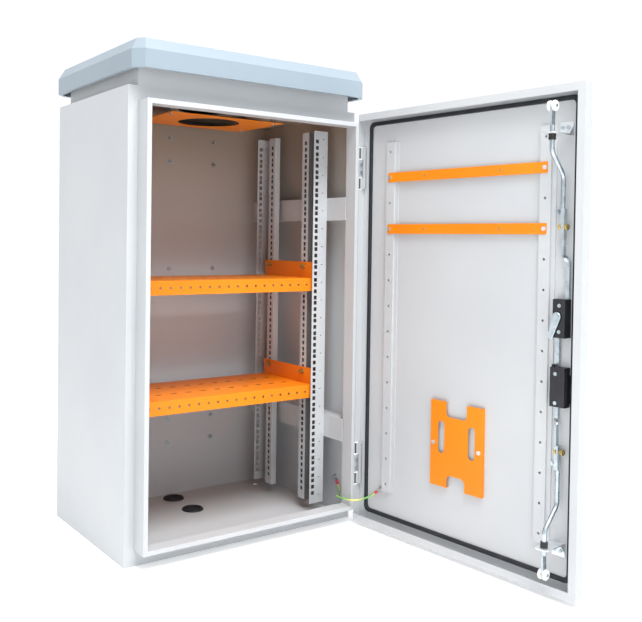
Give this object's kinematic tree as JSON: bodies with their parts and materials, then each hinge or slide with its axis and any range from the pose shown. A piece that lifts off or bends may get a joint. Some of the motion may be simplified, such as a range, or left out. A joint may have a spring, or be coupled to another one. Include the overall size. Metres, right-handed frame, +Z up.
{
  "type": "roadside utility cabinet",
  "caption": "Floor-standing sheet-steel outdoor equipment cabinet with an overhanging roof, rack rails, shelves and a side-hinged door with a three-point rod lock.",
  "frame": {"origin": "centre of the body's base, on the floor", "axes": "+Z up, +Y towards the back, +X towards the hinge side; the door is on the -Y side"},
  "size_m": [0.6709, 1.0585, 1.092],
  "materials": {
    "body_paint": "light grey powder coat, fine texture",
    "roof_paint": "blue-grey powder coat, fine texture",
    "orange_paint": "orange powder coat, satin",
    "zinc": "bright zinc plate",
    "yellow_zinc": "yellow passivated zinc",
    "black_plastic": "moulded, fine grain",
    "rubber": "matt",
    "white_plastic": "smooth nylon",
    "lock_brass": "nickelled key plug",
    "wire_insulation": "green and yellow stripes"
  },
  "bodies": {
    "cabinet": {"cabinet_shell": "body_paint", "back_nuts": "zinc", "front_frame": "body_paint", "roof_neck": "body_paint", "roof_cap": "roof_paint", "fan_plate": "orange_paint", "fan_plate_fixings": "zinc", "front_rail_right": "body_paint", "front_rail_left": "body_paint", "rear_rail_right": "body_paint", "rear_rail_left": "body_paint", "lower_beam_right": "body_paint", "lower_beam_left": "body_paint", "upper_beam_right": "body_paint", "upper_beam_left": "body_paint", "lower_shelf": "orange_paint", "upper_shelf": "orange_paint", "shelf_bolts": "yellow_zinc", "cable_grommets": "rubber", "lower_hinge_bracket": "body_paint", "upper_hinge_bracket": "body_paint", "hinge_pins": "zinc", "body_earth_terminal": "zinc", "earth_wire": "wire_insulation"},
    "door": {"lower_hinge_leaf": "body_paint", "upper_hinge_leaf": "body_paint", "door_panel": "body_paint", "door_gasket": "rubber", "door_strip_left": "body_paint", "door_strip_right": "body_paint", "lower_cross_bar": "orange_paint", "upper_cross_bar": "orange_paint", "cross_bar_screws": "zinc", "document_holder": "orange_paint", "door_fixing_screws": "zinc", "door_studs": "zinc", "gear_housing": "black_plastic", "lock_housing": "black_plastic", "upper_guide_bracket": "zinc", "lower_guide_bracket": "zinc", "upper_bush": "black_plastic", "lower_bush": "black_plastic", "handle_base": "black_plastic", "door_earth_terminal": "zinc"},
    "spindle": {"lock_spindle": "zinc", "lock_cam": "zinc"},
    "lever": {"handle_lever": "black_plastic", "lever_pin": "zinc"},
    "plug": {"lock_plug": "lock_brass"},
    "upper_rod_set": {"upper_rack_bar": "zinc", "upper_rod": "zinc", "upper_joint_bolt": "yellow_zinc"},
    "lower_rod_set": {"lower_rack_bar": "zinc", "lower_rod": "zinc", "lower_joint_bolt": "yellow_zinc"},
    "upper_inner_roller": {"upper_roller_inner": "white_plastic"},
    "upper_outer_roller": {"upper_roller_outer": "white_plastic"},
    "lower_inner_roller": {"lower_roller_inner": "white_plastic"},
    "lower_outer_roller": {"lower_roller_outer": "white_plastic"}
  },
  "joints": [
    {"name": "door_hinge", "type": "hinge", "parent": "cabinet", "child": "door", "pos_m": [0.29422, -0.24675, 0.5], "axis": [0, 0, 1], "range_deg": [-94.5, 15.5], "deforming": ["earth_wire"]},
    {"name": "spindle_turn", "type": "hinge", "parent": "door", "child": "spindle", "pos_m": [0.33717, -0.78927, 0.546], "axis": [-0.9969, -0.0785, 0], "range_deg": [0, 90]},
    {"name": "lever_lift", "type": "hinge", "parent": "spindle", "child": "lever", "pos_m": [0.36139, -0.78737, 0.546], "axis": [0, 0, -1], "range_deg": [0, 40]},
    {"name": "plug_turn", "type": "hinge", "parent": "door", "child": "plug", "pos_m": [0.34714, -0.78849, 0.408], "axis": [-0.9969, -0.0785, 0], "range_deg": [0, 90]},
    {"name": "upper_rod_slide", "type": "slide", "parent": "door", "child": "upper_rod_set", "axis": [0, 0, 1], "range_m": [0, 0.0095]},
    {"name": "lower_rod_slide", "type": "slide", "parent": "door", "child": "lower_rod_set", "axis": [0, 0, -1], "range_m": [0, 0.0095]},
    {"name": "upper_inner_roller_spin", "type": "hinge", "parent": "upper_rod_set", "child": "upper_inner_roller", "pos_m": [0.29031, -0.79296, 0.9435], "axis": [0.0785, -0.9969, 0], "continuous": true},
    {"name": "upper_outer_roller_spin", "type": "hinge", "parent": "upper_rod_set", "child": "upper_outer_roller", "pos_m": [0.29031, -0.79296, 0.9435], "axis": [0.0785, -0.9969, 0], "continuous": true},
    {"name": "lower_inner_roller_spin", "type": "hinge", "parent": "lower_rod_set", "child": "lower_inner_roller", "pos_m": [0.29031, -0.79296, 0.058], "axis": [0.0785, -0.9969, 0], "continuous": true},
    {"name": "lower_outer_roller_spin", "type": "hinge", "parent": "lower_rod_set", "child": "lower_outer_roller", "pos_m": [0.29031, -0.79296, 0.058], "axis": [0.0785, -0.9969, 0], "continuous": true}
  ],
  "couplings": [
    {"joint": "upper_rod_slide", "follows": "spindle_turn", "m_per_rad": 0.006},
    {"joint": "lower_rod_slide", "follows": "spindle_turn", "m_per_rad": 0.006}
  ]
}
